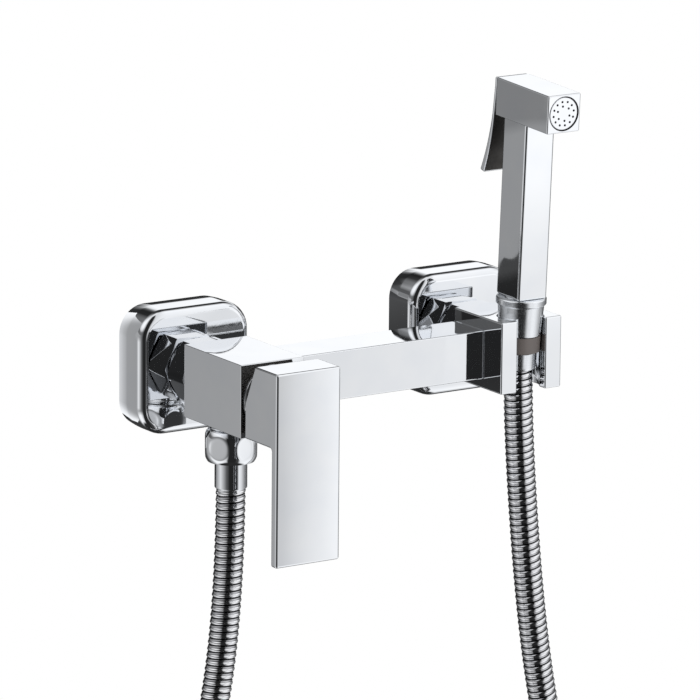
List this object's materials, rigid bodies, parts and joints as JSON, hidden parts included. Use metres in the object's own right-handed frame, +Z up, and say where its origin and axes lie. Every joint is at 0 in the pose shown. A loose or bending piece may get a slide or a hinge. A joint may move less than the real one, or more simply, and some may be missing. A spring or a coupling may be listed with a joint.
{
  "type": "bidet shower mixer",
  "caption": "Wall-mounted single-lever mixer bar with a holder block and a trigger hand spray on a ribbed metal hose, for a bidet or toilet wash.",
  "frame": {"origin": "on the wall face, midway between the two water inlets", "axes": "+X right along the bar, +Y into the wall, +Z up; the front of the mixer faces -Y"},
  "size_m": [0.2805, 0.1334, 0.6412],
  "materials": {
    "chrome": "polished chrome plate",
    "hose_chrome": "chrome-plated interlocked metal",
    "brass": "machined brass",
    "steel": "stainless steel",
    "rubber": "black sealing rubber",
    "plastic": "light grey moulded plastic",
    "ceramic": "lapped ceramic, white",
    "dark_plastic": "satin dark grey plastic"
  },
  "bodies": {
    "fixed_parts": {"mixer_body": "chrome", "holder_block": "chrome", "wall_connector_left": "brass", "wall_connector_right": "brass", "rosette_left": "chrome", "rosette_right": "chrome", "union_nut_left": "chrome", "union_nut_right": "chrome", "inlet_nipple_left": "brass", "inlet_nipple_right": "brass", "inlet_filter_left": "rubber", "inlet_filter_right": "rubber", "cartridge_seal": "rubber", "cartridge_base": "plastic", "cartridge_housing": "plastic", "fixed_disc": "ceramic", "retaining_nut": "brass", "cover_ring": "chrome", "outlet_nipple": "brass", "hose_washer": "rubber", "hose_nut": "chrome", "mixer_ferrule": "chrome", "shower_hose": "hose_chrome"},
    "carrier": {"disc_carrier": "plastic", "lever_pivot_pin": "steel"},
    "slide_disc": {"moving_disc": "ceramic"},
    "lever": {"cartridge_stem": "brass", "lever_handle": "chrome", "lever_grub_screw": "steel"},
    "hose_end": {"spray_ferrule": "chrome", "swivel_ring": "dark_plastic"},
    "spray": {"spray_body": "chrome", "cone_nut": "chrome", "spray_washer": "rubber", "spray_face": "chrome", "face_seal": "rubber", "valve_plug": "brass", "trigger_pin": "steel", "valve_spring": "steel"},
    "trigger": {"trigger": "chrome"},
    "valve": {"valve_rod": "steel", "valve_disc": "rubber"}
  },
  "joints": [
    {"name": "lever_swing", "type": "hinge", "parent": "fixed_parts", "child": "carrier", "pos_m": [-0.075, -0.078, 0], "axis": [0, -1, 0], "range_deg": [-45, 45]},
    {"name": "lever_tilt", "type": "hinge", "parent": "carrier", "child": "lever", "pos_m": [-0.075, -0.078, 0], "axis": [-1, 0, 0], "range_deg": [0, 24]},
    {"name": "disc_slide", "type": "slide", "parent": "carrier", "child": "slide_disc", "axis": [0, 0, -1], "range_m": [0, 0.00314]},
    {"name": "spray_lift", "type": "slide", "parent": "fixed_parts", "child": "hose_end", "axis": [0, -0.0523, 0.9986], "range_m": [0, 0.06]},
    {"name": "spray_turn", "type": "hinge", "parent": "hose_end", "child": "spray", "pos_m": [0.075, -0.0675, 0], "axis": [0, -0.0523, 0.9986], "continuous": true},
    {"name": "trigger_press", "type": "hinge", "parent": "spray", "child": "trigger", "pos_m": [0.075, -0.06211, 0.12646], "axis": [-1, 0, 0], "range_deg": [0, 5], "stiffness_Nm_per_rad": 2, "springref_deg": -2.86},
    {"name": "valve_stroke", "type": "slide", "parent": "spray", "child": "valve", "axis": [0, -0.9986, -0.0523], "range_m": [0, 0.000655], "deforming": ["valve_spring"]}
  ],
  "couplings": [
    {"joint": "disc_slide", "follows": "lever_tilt", "m_per_rad": 0.0075},
    {"joint": "valve_stroke", "follows": "trigger_press", "m_per_rad": 0.0075}
  ]
}
